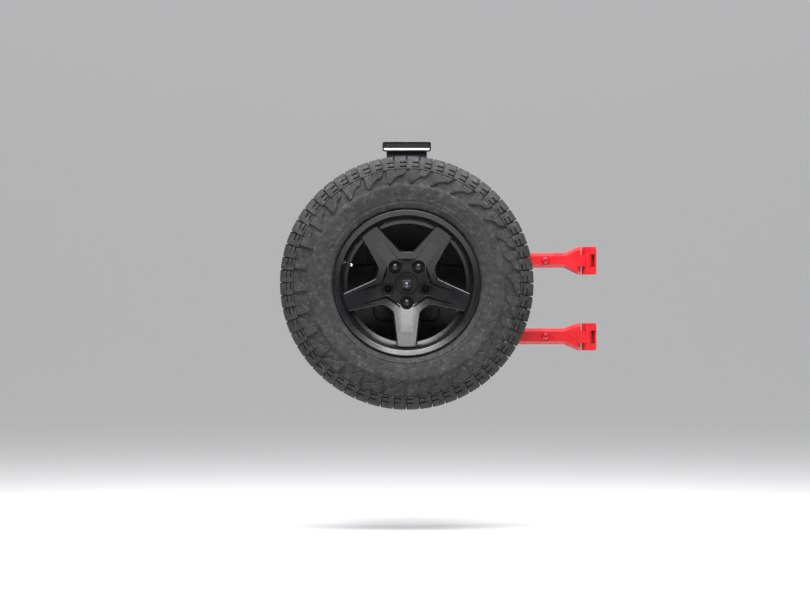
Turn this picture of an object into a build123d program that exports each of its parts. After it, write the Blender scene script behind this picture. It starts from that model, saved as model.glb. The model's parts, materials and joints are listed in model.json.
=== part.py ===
"""Hinged spare tire carrier for the tailgate of an off-road vehicle.

Two hinges carry a black wheel bracket, and the bracket carries a 17 inch spare wheel, a rear
camera in the wheel's bore and a raised brake light. Millimetres, +Z up. The row's origin is on
the wheel's axis in the plane of the tailgate skin, -Y points rearwards, away from the tailgate.
"""

from build123d import *
from math import cos, radians, sin
import os

# ---- driving dimensions -------------------------------------------------------------------
GATE_Y = 0.0  # plane of the tailgate skin that the arms and the bracket bolt against
ARM_DEPTH = 22.0  # hinge arms, front to back
PRESSING = 8.0  # thickness of the bracket plate
BRACKET_BACK_Y = GATE_Y - ARM_DEPTH
BRACKET_FRONT_Y = BRACKET_BACK_Y - PRESSING

PAD_Y = -187.0  # where the wheel's mounting pad seats on the flange
PITCH_RADIUS = 63.5  # 5 x 127 mm bolt circle
HOLE_ANGLES = [54, 126, 198, 270, 342]
STUD_ANGLES = [54, 126, 270]  # a spare is held by three nuts
BORE_R = 35.75

# wheel, in its own frame: z = 0 at the mounting pad, +z outwards, y up
SPOKES = 5
SPOKE_TURN = 360 / SPOKES
RIM_LIP_R = 233.4
BEAD_SEAT_R = 215.9
BARREL_WALL = 6.5
RIM_CENTRE_Z = -12.0
RIM_HALF = 101.6  # half of the 8 inch width between the flanges
FLANGE = 11.0
DISC_R = 207.0
HUB_Z = 46.0
POCKET_R = 20.5
LUG_HOLE_R = 7.75
SEAT_Z = 26.0
NUT_BORE_R = 7.05
SEAT_RING_BORE_R = 8.2  # the ring is loose round the stud
NUT_CAP_Z = 46.4  # the nut's cap closes its sleeve here
VALVE_ANGLE = 162.0

# tyre, 255/75 R17
TYRE_R = 407.5
TYRE_HALF = 131.0
GAP = 0.3  # between curved faces that would otherwise touch

# hinges
PIN_X = 593.5
PIN_Y = -20.0
PIN_R = 6.0
KNUCKLE_R = 14.6
HINGES = {  # name: bar bottom, bar top, flare bottom, flare top, tongue bottom, tongue top
    "upper": (51.5, 99.5, 29.0, 119.5, 54.5, 95.5),
    "lower": (-200.0, -147.5, -219.5, -130.5, -196.5, -154.0),
}
GATE_BOLT_X = 455.0
GATE_BOLT_R = 5.0
THREAD_R = 4.5  # of the M10 thread that stands out behind the skin
BUSH_WALL = 2.0

# bracket
WING_BOLT_X = 250.0
SNUBBER_X = 290.0
FOOT_R = 16.0
COVER_TOP_Z = 58.0
COVER_R = 203.0

# camera and brake light
LIGHT_BOTTOM_Z = 431.5
LIGHT_TOP_Z = 465.0
LIGHT_HALF = 79.5
STALK_HALF = 66.0

NODES = {}


# ---- helpers ------------------------------------------------------------------------------
def group(solids):
    """Several solids as one node."""
    return Compound(children=[s for part in solids for s in part.solids()])


def revolved(points):
    """Turns an outline of (radius, height) points about Z."""
    return revolve(make_face(Plane.XZ * Polyline(*points, close=True)), Axis.Z)


def on_wheel(shape):
    """From the wheel's own frame to the row's frame."""
    return Pos(0, PAD_Y, 0) * Rot(90, 0, 0) * shape


def facing_out(outline, back_y, front_y):
    """Extrudes an outline drawn in (X, Z) from back_y towards the rear of the vehicle."""
    return Pos(0, back_y, 0) * extrude(Plane.XZ * outline, amount=back_y - front_y)


def rod(radius, x, z, back_y, front_y):
    """A round bar along Y."""
    return Pos(x, back_y, z) * Rot(90, 0, 0) * Cylinder(
        radius, back_y - front_y, align=(Align.CENTER, Align.CENTER, Align.MIN)
    )


def upright(radius, x, y, bottom, top):
    """A round bar along Z."""
    return Pos(x, y, bottom) * Cylinder(
        radius, top - bottom, align=(Align.CENTER, Align.CENTER, Align.MIN)
    )


def block(low, high):
    """A box from its lowest to its highest corner."""
    size = [b - a for a, b in zip(low, high)]
    return Pos(*low) * Box(*size, align=(Align.MIN, Align.MIN, Align.MIN))


def polar(radius, angle):
    return radius * cos(radians(angle)), radius * sin(radians(angle))


def hex_bar(across_flats, height):
    """A hexagonal bar from z = 0 up."""
    return extrude(RegularPolygon(across_flats / 2, 6, major_radius=False), amount=height)


def edges_filleted(part, edges, radius):
    """Rounds the edges, with a smaller radius where the full one cannot be made."""
    for attempt in (radius, radius * 0.6, radius * 0.3):
        try:
            rounded = fillet(edges, attempt)
            if rounded.is_valid:
                return rounded
        except Exception:
            continue
    print("edges left sharp")
    return part


# ---- wheel and tyre -----------------------------------------------------------------------
RAIL_OUT = (204.0, 88.0)  # radius and height of the spoke face where it meets the rim
RAIL_IN = (95.0, 58.0)  # and at the foot of a window
DIP_START_R = 160.0  # the spoke's middle falls below its rails inwards of here
DIP_END_R = 72.0  # and is level with the hub here
GROOVE_R = 158.0
CORNER_R = 82.0
WINDOW_FRONT_Z = 95.0
RING_R = 203.0  # the spokes end here, at a groove round the rim
RING_Z = 82.5
HUB_R = 51.4  # the rails' cone meets the hub's face


def rail_height(radius):
    slope = (RAIL_OUT[1] - RAIL_IN[1]) / (RAIL_OUT[0] - RAIL_IN[0])
    return RAIL_IN[1] + slope * (radius - RAIL_IN[0])


def window_cutter():
    """One spoke window, pointing up, narrowing towards the back of the wheel."""
    outline = Polygon(
        (-20.6, 96.3), (20.6, 96.3), (112, 199.8), (60, 240), (-60, 240), (-112, 199.8), align=None
    )
    inner = [v for v in outline.vertices() if v.Y < DISC_R / 2]
    return extrude(Plane.XY.offset(WINDOW_FRONT_Z) * fillet(inner, 28), amount=-110, taper=5)


def window_edge(edge):
    """True for the front edge of a window, which lies on the cone of the rails."""
    middle = edge @ 0.5
    radius = (middle.X**2 + middle.Y**2) ** 0.5
    on_cone = abs(middle.Z - rail_height(radius)) < 0.3
    return on_cone and 90 < radius < RING_R - 0.5 and edge.length > 5


def spoke_disc():
    """Five spokes with raised rails, from the centre bore to the rim."""
    disc = revolved(
        [
            (BORE_R, 0),
            (78, 0),
            (92, 12),
            (DISC_R + 2, 62),
            (DISC_R + 2, RING_Z),
            (RING_R, RING_Z),
            (RING_R, rail_height(RING_R)),
            (HUB_R, HUB_Z),
            (BORE_R, HUB_Z),
        ]
    )
    for i in range(SPOKES):
        disc -= Rot(0, 0, i * SPOKE_TURN) * window_cutter()
    disc = edges_filleted(disc, [e for e in disc.edges() if window_edge(e)], 3.0)

    star = []
    for i in range(SPOKES):
        window = 90 + i * SPOKE_TURN
        star += [polar(CORNER_R, window - 16.5), polar(CORNER_R, window + 16.5)]
        star += [polar(GROOVE_R, window + 28.2), polar(GROOVE_R, window + 43.8)]
    above_dip = revolved(
        [
            (0, HUB_Z),
            (DIP_END_R, HUB_Z),
            (DIP_START_R, rail_height(DIP_START_R)),
            (170, rail_height(170) + 1),
            (170, 120),
            (0, 120),
        ]
    )
    disc -= extrude(Polygon(*star, align=None), amount=130) & above_dip

    above_groove = revolved(
        [
            (60, HUB_Z - 9),
            (DIP_END_R, HUB_Z - 9),
            (GROOVE_R, rail_height(GROOVE_R) - 6),
            (170, rail_height(170) - 6),
            (170, 120),
            (60, 120),
        ]
    )
    for i in range(SPOKES):
        window = 90 + i * SPOKE_TURN
        groove = [(GROOVE_R, -28.2), (CORNER_R, -16.5), (CORNER_R, 16.5), (GROOVE_R, 28.2)]
        groove += [(GROOVE_R, 29.0), (76.3, 20.3), (76.3, -20.3), (GROOVE_R, -29.0)]
        outline = Polygon(*[polar(r, window + a) for r, a in groove], align=None)
        disc -= extrude(outline, amount=130) & above_groove
    return disc


def make_wheel():
    front = RIM_CENTRE_Z + RIM_HALF
    rear = RIM_CENTRE_Z - RIM_HALF
    barrel = revolved(
        [
            (RIM_LIP_R, front + 3),
            (RIM_LIP_R, front + FLANGE),
            (RIM_LIP_R - 1, front + FLANGE + 1.8),
            (RIM_LIP_R - 3, front + FLANGE + 2.2),
            (RIM_LIP_R - 16, front + FLANGE - 2.3),
            (RIM_LIP_R - 17.4, front + FLANGE - 3.4),
            (207, RING_Z),
            (200, 62),
            (190.5, 59),
            (190.5, 12),
            (204, -12),
            (BEAD_SEAT_R - BARREL_WALL - 1, rear + 8),
            (RIM_LIP_R - 8, rear - 7),
            (RIM_LIP_R - 6, rear - FLANGE),
            (RIM_LIP_R, rear - FLANGE),
            (RIM_LIP_R, rear - 3),
            (219, rear),
            (BEAD_SEAT_R, rear + 3),
            (BEAD_SEAT_R - 1, rear + 20),
            (BEAD_SEAT_R + 0.6, rear + 23),
            (BEAD_SEAT_R - 2, rear + 26),
            (211, -8),
            (196, 14),
            (196, 45),
            (211.8, 57.3),
            (BEAD_SEAT_R - 2, front - 27),
            (BEAD_SEAT_R + 0.6, front - 23),
            (BEAD_SEAT_R - 1, front - 20),
            (BEAD_SEAT_R, front - 3),
            (219, front),
        ]
    )
    wheel = barrel + spoke_disc()
    wheel -= Pos(0, 0, HUB_Z - 2) * Cylinder(
        41.5, 60, align=(Align.CENTER, Align.CENTER, Align.MIN)
    )
    for angle in HOLE_ANGLES:
        seat = revolved(
            [
                (0, -1),
                (LUG_HOLE_R, -1),
                (LUG_HOLE_R, SEAT_Z - 7.4),
                (12, SEAT_Z),
                (POCKET_R - 1.5, SEAT_Z),
                (POCKET_R, HUB_Z - 1),
                (POCKET_R + 1, HUB_Z),
                (POCKET_R + 1, HUB_Z + 30),
                (0, HUB_Z + 30),
            ]
        )
        wheel -= Pos(*polar(PITCH_RADIUS, angle), 0) * seat
    wheel -= valve_axis() * Cylinder(5.8, 80)
    wheel -= valve_axis() * Pos(0, 0, 5) * Cylinder(
        8.5, 30, align=(Align.CENTER, Align.CENTER, Align.MIN)
    )
    return wheel


def valve_axis():
    """The valve's own frame: it passes the sloping barrel wall and points out and inwards."""
    return Rot(0, 0, VALVE_ANGLE) * Pos(201.0, 0, 56.5) * Rot(0, -38, 0)


def make_valve():
    """Rubber base on both sides of the wall, a brass stem, and a metal cap."""
    seat = Align.CENTER, Align.CENTER, Align.MIN
    body = Pos(0, 0, -12) * Cylinder(5.6, 17, align=seat)
    body += Pos(0, 0, -12.8) * Cylinder(9, 6.6, align=seat)
    body += Pos(0, 0, 5) * Cone(7.2, 4.6, 9, align=seat)
    body -= Pos(0, 0, -20) * Cylinder(2, 40, align=seat)
    stem = Pos(0, 0, -14) * Cylinder(1.95, 28, align=seat)
    stem += Pos(0, 0, 14) * Cylinder(3.4, 8, align=seat)
    cap = Pos(0, 0, 14.6) * Cylinder(4.9, 12, align=seat)
    cap = edges_filleted(cap, cap.edges().sort_by(Axis.Z)[-1:], 1.5)
    cap -= Pos(0, 0, 14) * Cylinder(3.5, 9, align=seat)
    return [valve_axis() * part for part in (body, stem, cap)]


def make_tyre():
    """Hollow tyre with a smooth tread; its own axis is Z and its middle z = 0."""
    crown = TYRE_R
    outer = [(crown, 0), (crown - 1, 62), (400, 98), (386, 115), (360, 126), (325, TYRE_HALF)]
    outer += [(290, 129), (262, 121.5)]
    inner = [(222, 76), (248, 96), (280, 111), (325, 117), (366, 110), (389, 92), (394, 60), (395, 0)]
    with BuildSketch(Plane.XZ) as half:
        with BuildLine():
            Spline(*outer, tangents=[(0, 1), (-1, -0.25)])
            Polyline(
                (262, 121.5),
                (252, 120.5),
                (246, 114),
                (237, 103),
                (234.5, RIM_HALF - GAP),
                (220, RIM_HALF - GAP),
                (BEAD_SEAT_R + 1, RIM_HALF - 4),
                (BEAD_SEAT_R + 1, 78),
                (222, 76),
            )
            Spline(*inner, tangents=[(0.8, 0.6), (0, -1)])
            Line((395, 0), (crown, 0))
        make_face()
    right = revolve(half.sketch, Axis.Z)
    tyre = right + mirror(right, Plane.XY)
    return Pos(0, 0, RIM_CENTRE_Z) * tyre


def make_lug_nut(angle):
    """Capped nut for an M14 stud: a loose 60 degree seat ring, a hexagonal sleeve and its cap."""
    ring = revolved(
        [
            (SEAT_RING_BORE_R, SEAT_Z - 5.6),
            (8.4, SEAT_Z - 5.6),
            (11.6, SEAT_Z),
            (13.6, SEAT_Z),
            (13.6, SEAT_Z + 2.5),
            (SEAT_RING_BORE_R, SEAT_Z + 2.5),
        ]
    )
    dome = revolved(
        [(0, 25), (14, 25), (14, 47), (11.2, 51), (8.5, 54.5), (4.5, 56.6), (0, 57.2)]
    )
    body = (Pos(0, 0, SEAT_Z + 2.5) * hex_bar(22, 32)) & dome
    below_cap = Cylinder(20, NUT_CAP_Z, align=(Align.CENTER, Align.CENTER, Align.MIN))
    sleeve = (body & below_cap) - Cylinder(NUT_BORE_R, 3 * NUT_CAP_Z)
    cap = body - below_cap
    return Pos(*polar(PITCH_RADIUS, angle), 0) * group([ring, sleeve, cap])


NODES["wheel"] = on_wheel(make_wheel())
NODES["tyre"] = on_wheel(make_tyre())
valve_rubber, valve_core, valve_cap = make_valve()
NODES["valve_body"] = on_wheel(valve_rubber)
NODES["valve_stem"] = on_wheel(valve_core)
NODES["valve_cap"] = on_wheel(valve_cap)
for number, angle in enumerate(STUD_ANGLES, start=1):
    NODES[f"lug_nut_{number}"] = on_wheel(make_lug_nut(angle))


# ---- hinges -------------------------------------------------------------------------------
ARM_START_X = 200.0
FLARE_START_X = 516.0
FLARE_TOP_X = 561.0
ARM_END_X = 571.2  # the flare ends here and only the tongue goes on to the pin
RIDGE_DEPTH = 12.0  # the arm's front part, with sloping flanks
RIDGE_SLOPE = 40.0
EAR_R = 14.0
EAR_FRONT_Y = PIN_Y - 11.0
HINGE_BACK_X = 621.5
STRAP_X = 615.0  # upright bar that joins the two ears
BRACKET_X = 574.5
BRACKET_PLATE = 5.0
FLANGE_WALL = 1.0  # thickness of a bush flange
TAPPED_R = 3.4
TAPPED_X = 609.0
ARM_BOLTS_X = [350.0, GATE_BOLT_X]
BOLT_SHANK = 18.0  # how far the tailgate bolts stand out behind the skin's plane


def make_hinge_arm(bar_bottom, bar_top, flare_bottom, flare_top, tongue_bottom, tongue_top):
    """A flat-backed arm that widens towards the pin and ends in a bushed knuckle."""
    outline = Polygon(
        (ARM_START_X, bar_bottom),
        (FLARE_START_X, bar_bottom),
        (FLARE_TOP_X, flare_bottom),
        (ARM_END_X + 25, flare_bottom),
        (ARM_END_X + 25, flare_top),
        (FLARE_TOP_X, flare_top),
        (FLARE_START_X, bar_top),
        (ARM_START_X, bar_top),
        align=None,
    )
    back_part = facing_out(outline, GATE_Y, GATE_Y - ARM_DEPTH + RIDGE_DEPTH)
    ridge = extrude(Plane.XZ * outline, amount=RIDGE_DEPTH, taper=RIDGE_SLOPE)
    arm = back_part + Pos(0, GATE_Y - ARM_DEPTH + RIDGE_DEPTH, 0) * ridge
    arm -= block(
        (ARM_END_X, -60, flare_bottom - 1), (ARM_END_X + 60, 60, flare_top + 1)
    )
    low, high = tongue_bottom + FLANGE_WALL, tongue_top - FLANGE_WALL
    arm += block((ARM_END_X - 12, PIN_Y - 12, low), (PIN_X, PIN_Y + 12, high))
    arm += upright(KNUCKLE_R, PIN_X, PIN_Y, low, high)
    arm -= upright(PIN_R + 0.05 + BUSH_WALL, PIN_X, PIN_Y, low - 1, high + 1)
    middle = (bar_bottom + bar_top) / 2
    for x in ARM_BOLTS_X:
        arm -= rod(GATE_BOLT_R, x, middle, GATE_Y + 1, GATE_Y - ARM_DEPTH - 1)
        arm -= rod(14, x, middle, GATE_Y - ARM_DEPTH + 2, GATE_Y - ARM_DEPTH - 1)
    arm -= rod(GATE_BOLT_R, WING_BOLT_X, middle, GATE_Y + 1, GATE_Y - ARM_DEPTH - 1)
    arm -= rod(GATE_BOLT_R + 1, SNUBBER_X, middle, GATE_Y + 1, GATE_Y - ARM_DEPTH - 1)
    return arm, middle


def make_bush(tongue_bottom, tongue_top):
    """Two flanged bushes pressed in from the knuckle's ends."""
    half = (tongue_bottom + tongue_top) / 2
    bushes = []
    for end, inwards in ((tongue_bottom, 1), (tongue_top, -1)):
        low, high = sorted((end, half - inwards * 1.5))
        bush = upright(PIN_R + 0.05 + BUSH_WALL, PIN_X, PIN_Y, low, high)
        low, high = sorted((end, end + inwards * FLANGE_WALL))
        bush += upright(12, PIN_X, PIN_Y, low, high)
        bush -= upright(PIN_R + 0.05, PIN_X, PIN_Y, tongue_bottom - 1, tongue_top + 1)
        bushes.append(bush)
    return group(bushes)


def make_pillar_bracket(flare_bottom, flare_top, tongue_bottom, tongue_top):
    """C shaped casting on the body: two ears for the pin and an upright strap behind them."""
    bracket = block(
        (BRACKET_X, GATE_Y - BRACKET_PLATE, flare_bottom), (HINGE_BACK_X, GATE_Y, flare_top)
    )
    strap = block(
        (STRAP_X, EAR_FRONT_Y + 4, flare_bottom + 6), (HINGE_BACK_X, GATE_Y, flare_top - 6)
    )
    front = [e for e in strap.edges().filter_by(Axis.Z) if e.center().Y < PIN_Y]
    bracket += edges_filleted(strap, front, 2.5)
    for low, high in ((flare_bottom, tongue_bottom), (tongue_top, flare_top)):
        ear = upright(EAR_R, PIN_X, PIN_Y, low, high)
        ear += block((PIN_X, EAR_FRONT_Y, low), (HINGE_BACK_X - 2, GATE_Y, high))
        ear += block((PIN_X - EAR_R, PIN_Y, low), (PIN_X, GATE_Y, high))
        outer = [e for e in ear.edges().filter_by(Axis.Y) if e.center().X > PIN_X]
        bracket += edges_filleted(ear, outer, 5)
    bracket -= upright(PIN_R, PIN_X, PIN_Y, flare_bottom - 1, flare_top + 1)
    bracket -= upright(10, PIN_X, PIN_Y, flare_top - 4, flare_top + 1)
    bracket -= upright(10, PIN_X, PIN_Y, flare_bottom - 1, flare_bottom + 4)
    for z in tapped_heights(flare_bottom, flare_top, tongue_bottom, tongue_top):
        bracket -= rod(TAPPED_R, TAPPED_X, z, GATE_Y + 1, GATE_Y - 16)
    return bracket


def tapped_heights(flare_bottom, flare_top, tongue_bottom, tongue_top):
    """Each ear has one tapped hole in its back for the bolt from inside the body."""
    return (flare_bottom + tongue_bottom) / 2, (tongue_top + flare_top) / 2


def make_pin(flare_bottom, flare_top):
    """Headed pin with a groove for its retaining ring; both ends lie in the ears' recesses."""
    pin = upright(PIN_R, PIN_X, PIN_Y, flare_bottom + 0.5, flare_top - 4)
    head = upright(9.5, PIN_X, PIN_Y, flare_top - 4, flare_top - 0.5)
    pin += edges_filleted(head, head.edges().sort_by(Axis.Z)[-1:], 1)
    groove = upright(PIN_R + 1, PIN_X, PIN_Y, flare_bottom + 2, flare_bottom + 3.6)
    groove -= upright(PIN_R - 1, PIN_X, PIN_Y, flare_bottom + 1, flare_bottom + 4)
    return pin - groove


def make_pin_ring(flare_bottom):
    ring = upright(9, PIN_X, PIN_Y, flare_bottom + 2, flare_bottom + 3.6)
    ring -= upright(PIN_R - 1, PIN_X, PIN_Y, flare_bottom + 1, flare_bottom + 4)
    return ring - block((PIN_X - 2.5, PIN_Y - 10, -300), (PIN_X + 2.5, PIN_Y, 200))


def gate_shank(x, z, seat_y):
    """Plain shank as far as the tailgate skin, and a thread of M10 beyond it."""
    thread = rod(THREAD_R, x, z, GATE_Y + BOLT_SHANK, GATE_Y)
    return thread + rod(GATE_BOLT_R, x, z, GATE_Y, seat_y)


def torx_bolt(x, z, seat_y):
    """Button-head bolt with a six-lobed recess; the head's underside is at seat_y."""
    head = revolved([(0, 0), (12, 0), (12, 2), (10, 5.2), (6.5, 6.8), (0, 7)])
    recess = Circle(3.2)
    for lobe in range(6):
        recess += Pos(*polar(3.2, 60 * lobe)) * Circle(1.2)
    head -= Pos(0, 0, 3.5) * extrude(recess, amount=5)
    return Pos(x, seat_y, z) * Rot(90, 0, 0) * head + gate_shank(x, z, seat_y)


hinge_bolts = []
pin_rings = []
for name, levels in HINGES.items():
    flare_bottom, flare_top, tongue_bottom, tongue_top = levels[2:]
    arm, middle = make_hinge_arm(*levels)
    NODES[f"{name}_hinge_arm"] = arm
    NODES[f"{name}_hinge_bush"] = make_bush(tongue_bottom, tongue_top)
    NODES[f"{name}_pillar_bracket"] = make_pillar_bracket(*levels[2:])
    NODES[f"{name}_hinge_pin"] = make_pin(flare_bottom, flare_top)
    pin_rings.append(make_pin_ring(flare_bottom))
    for x in ARM_BOLTS_X:
        hinge_bolts.append(torx_bolt(x, middle, GATE_Y - ARM_DEPTH + 2))
NODES["hinge_arm_bolts"] = group(hinge_bolts)
NODES["pin_rings"] = group(pin_rings)


# ---- bracket, cover and tower -------------------------------------------------------------
WING_Z = [(levels[0] + levels[1]) / 2 for levels in HINGES.values()]
WING_HALF = 24.0
WING_END = SNUBBER_X + 26.0
PLATE_R = 202.0
PLATE_TOP_Z = 150.0
STUD_X = 160.0
STUD_Z = 75.0
RIB = 6.0
RIB_DEPTH = 22.0
RIB_X = [-186.0, -136.0, -112.0, 112.0, 136.0, 186.0]
COVER_FRONT_Y = -56.0
COVER_SKIN = 3.0
TOWER_BASE = (196.0, 170.0)
TOWER_TOP_R = 78.0
TOWER_WALL = 7.0
FLANGE_PLATE = 12.0
FLANGE_R = 80.0
FLANGE_SCREW_R = 47.0
TOWER_FRONT_Y = PAD_Y + FLANGE_PLATE
CAMERA_STEM_R = 16.0
STUD_R = 6.1  # core of the M14 thread
BIG_BOLT_R = 6.0
COVER_SCREWS = [(-165, -40), (165, -40), (-125, -135), (125, -135), (0, -185)]
TOWER_BOLTS = [(-70, -98), (70, -98), (-70, 108), (70, 108)]  # the upper two hold the stalk too
CABLE_HOLE_R = 12.0


def flanged_head(x, z, seat_y, across_flats):
    """Hexagon head with a washer face; its underside is at seat_y."""
    washer = Cylinder(across_flats * 0.68, 2.5, align=(Align.CENTER, Align.CENTER, Align.MIN))
    crown = revolved(
        [
            (0, 0),
            (across_flats * 0.6, 0),
            (across_flats * 0.6, across_flats * 0.48),
            (across_flats * 0.48, across_flats * 0.54),
            (0, across_flats * 0.54),
        ]
    )
    head = washer + (hex_bar(across_flats, across_flats * 0.54) & crown)
    return Pos(x, seat_y, z) * Rot(90, 0, 0) * head


def plate_outline():
    """Round plate with a flat top and four wings that reach over the hinge arms."""
    outline = Circle(PLATE_R) & Pos(0, PLATE_TOP_Z - 300) * Rectangle(2 * PLATE_R, 600)
    for z in WING_Z:
        outline += Pos(0, z) * SlotOverall(2 * WING_END, 2 * WING_HALF)
    corners = [v for v in outline.vertices() if 150 < abs(v.X) < PLATE_R]
    return fillet(corners, 12)


def make_carrier_bracket():
    plate = facing_out(plate_outline(), BRACKET_BACK_Y, BRACKET_FRONT_Y)
    for x in RIB_X:
        top = (PLATE_R**2 - x**2) ** 0.5
        high = min(top, PLATE_TOP_Z) - 6
        plate += block(
            (x - RIB / 2, BRACKET_FRONT_Y - RIB_DEPTH, COVER_TOP_Z + 6),
            (x + RIB / 2, BRACKET_FRONT_Y, high),
        )
    plate -= rod(CABLE_HOLE_R, 0, 0, BRACKET_BACK_Y + 1, BRACKET_FRONT_Y - 1)
    for x in (-STUD_X, STUD_X):
        for z in (-STUD_Z, STUD_Z):
            plate -= rod(GATE_BOLT_R, x, z, BRACKET_BACK_Y + 1, BRACKET_FRONT_Y - 1)
    for x in (-WING_BOLT_X, WING_BOLT_X, -SNUBBER_X, SNUBBER_X):
        for z in WING_Z:
            plate -= rod(GATE_BOLT_R, x, z, BRACKET_BACK_Y + 1, BRACKET_FRONT_Y - 1)
    for x, z in TOWER_BOLTS:
        plate -= rod(BIG_BOLT_R, x, z, BRACKET_BACK_Y + 1, BRACKET_FRONT_Y - 1)
    for x, z in COVER_SCREWS:
        plate -= rod(3, x, z, BRACKET_BACK_Y + 1, BRACKET_FRONT_Y - 1)
    return plate


def make_carrier_feet():
    """Spacers between the plate and the tailgate skin, where no hinge arm lies between."""
    places = [(x, z) for x in (-STUD_X, STUD_X) for z in (-STUD_Z, STUD_Z)]
    places += [(-WING_BOLT_X, z) for z in WING_Z]
    feet = []
    for x, z in places:
        foot = rod(FOOT_R, x, z, GATE_Y, BRACKET_BACK_Y)
        feet.append(foot - rod(GATE_BOLT_R, x, z, GATE_Y + 1, BRACKET_BACK_Y - 1))
    return group(feet)


def make_gate_bolts(xs, zs):
    """Four long bolts that go through a spacer or a hinge arm into the tailgate."""
    return group(
        flanged_head(x, z, BRACKET_FRONT_Y, 16) + gate_shank(x, z, BRACKET_FRONT_Y)
        for x in xs
        for z in zs
    )


def make_tower():
    """Hollow cast tower between the bracket and the wheel flange."""
    base = Pos(0, 5) * RectangleRounded(*TOWER_BASE, 40)
    inner_base = Pos(0, 5) * RectangleRounded(
        TOWER_BASE[0] - 2 * TOWER_WALL, TOWER_BASE[1] - 2 * TOWER_WALL, 34
    )
    length = BRACKET_FRONT_Y - TOWER_FRONT_Y
    outer = loft([base, Pos(0, 0, length) * Circle(TOWER_TOP_R)])
    inner = loft([inner_base, Pos(0, 0, length) * Circle(TOWER_TOP_R - TOWER_WALL)])
    tower = outer - inner
    seat = Align.CENTER, Align.CENTER, Align.MIN
    ring = Cylinder(TOWER_TOP_R - TOWER_WALL + 2, 8, align=seat) - Cylinder(36, 8, align=seat)
    tower += Pos(0, 0, length - 8) * ring
    foot = Pos(0, 5) * RectangleRounded(200, 246, 18) - inner_base
    tower += extrude(foot, amount=8)
    for x, z in TOWER_BOLTS:
        tower -= Pos(x, z, -1) * Cylinder(
            BIG_BOLT_R, 12, align=(Align.CENTER, Align.CENTER, Align.MIN)
        )
    for angle in STUD_ANGLES:
        tower -= Pos(*polar(PITCH_RADIUS, angle), length - 20) * Cylinder(
            10, 25, align=(Align.CENTER, Align.CENTER, Align.MIN)
        )
    for i in range(SPOKES):
        tower -= Pos(*polar(FLANGE_SCREW_R, 18 + i * SPOKE_TURN), length - 10) * Cylinder(
            4, 12, align=(Align.CENTER, Align.CENTER, Align.MIN)
        )
    return Pos(0, BRACKET_FRONT_Y, 0) * Rot(90, 0, 0) * tower


def make_flange():
    """Steel plate that the wheel seats on."""
    flange = Cylinder(FLANGE_R, FLANGE_PLATE, align=(Align.CENTER, Align.CENTER, Align.MAX))
    flange = edges_filleted(flange, flange.edges().sort_by(Axis.Z)[:1], 2)
    flange -= Cylinder(34.5, 40)
    for angle in STUD_ANGLES:
        flange -= Pos(*polar(PITCH_RADIUS, angle), 0) * Cylinder(STUD_R, 40)
    for i in range(SPOKES):
        sink = revolved([(0, 1), (8, 1), (8, 0), (4, -4), (4, -20), (0, -20)])
        flange -= Pos(*polar(FLANGE_SCREW_R, 18 + i * SPOKE_TURN), 0) * sink
    return on_wheel(flange)


def make_flange_screws():
    screws = []
    for i in range(SPOKES):
        screw = revolved([(0, -0.4), (7.6, -0.4), (4, -4), (4, -20), (0, -20)])
        screw -= Pos(0, 0, -3) * hex_bar(5, 5)
        screws.append(on_wheel(Pos(*polar(FLANGE_SCREW_R, 18 + i * SPOKE_TURN), 0) * screw))
    return group(screws)


def make_studs():
    """Pressed-in M14 studs with round heads behind the flange."""
    studs = []
    for angle in STUD_ANGLES:
        stud = revolved(
            [
                (0, -FLANGE_PLATE - 5),
                (9.5, -FLANGE_PLATE - 5),
                (9.5, -FLANGE_PLATE),
                (STUD_R, -FLANGE_PLATE),
                (STUD_R, 42.5),
                (STUD_R - 1.5, 44),
                (0, 44),
            ]
        )
        studs.append(on_wheel(Pos(*polar(PITCH_RADIUS, angle), 0) * stud))
    return group(studs)


def make_cover():
    """Shallow moulded tray over the lower bracket, notched for the tower."""
    def outline(shrink):
        disc = Circle(COVER_R - shrink)
        below = Pos(0, COVER_TOP_Z - shrink - 300) * Rectangle(3 * COVER_R, 600)
        notch = Pos(0, 5) * RectangleRounded(214 + 2 * shrink, 256 + 2 * shrink, 30)
        return (disc & below) - notch

    depth = BRACKET_FRONT_Y - COVER_FRONT_Y
    tray = extrude(outline(0), amount=depth)
    tray = edges_filleted(tray, tray.edges().group_by(Axis.Z)[-1], 3.5)
    tray -= extrude(outline(COVER_SKIN), amount=depth - COVER_SKIN)
    for x, z in COVER_SCREWS:
        post = Pos(x, z, 0) * Cylinder(
            8, depth - 3, align=(Align.CENTER, Align.CENTER, Align.MIN)
        )
        tray += post
        tray -= Pos(x, z, 0) * Cylinder(3, 3 * depth)
    return Pos(0, BRACKET_FRONT_Y, 0) * Rot(90, 0, 0) * tray


def make_cover_screws():
    screws = []
    for x, z in COVER_SCREWS:
        head = revolved([(0, 0), (7.5, 0), (7.5, 1.2), (5.5, 3.6), (0, 4.6)])
        screw = Pos(x, COVER_FRONT_Y, z) * Rot(90, 0, 0) * (head - Pos(0, 0, 2) * hex_bar(4, 4))
        screws.append(screw + rod(3, x, z, BRACKET_BACK_Y, COVER_FRONT_Y))
    return group(screws)


# a snubber is a rubber pad on a threaded stem that can be screwed in against the tyre
PAD_R = 20.0
PAD_BACK_Y = BRACKET_FRONT_Y - 5.0
PAD_FRONT_Y = PAD_Y - RIM_CENTRE_Z + TYRE_HALF + 0.2 + GAP
STEM_END_Y = BRACKET_BACK_Y + 12.0


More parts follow.
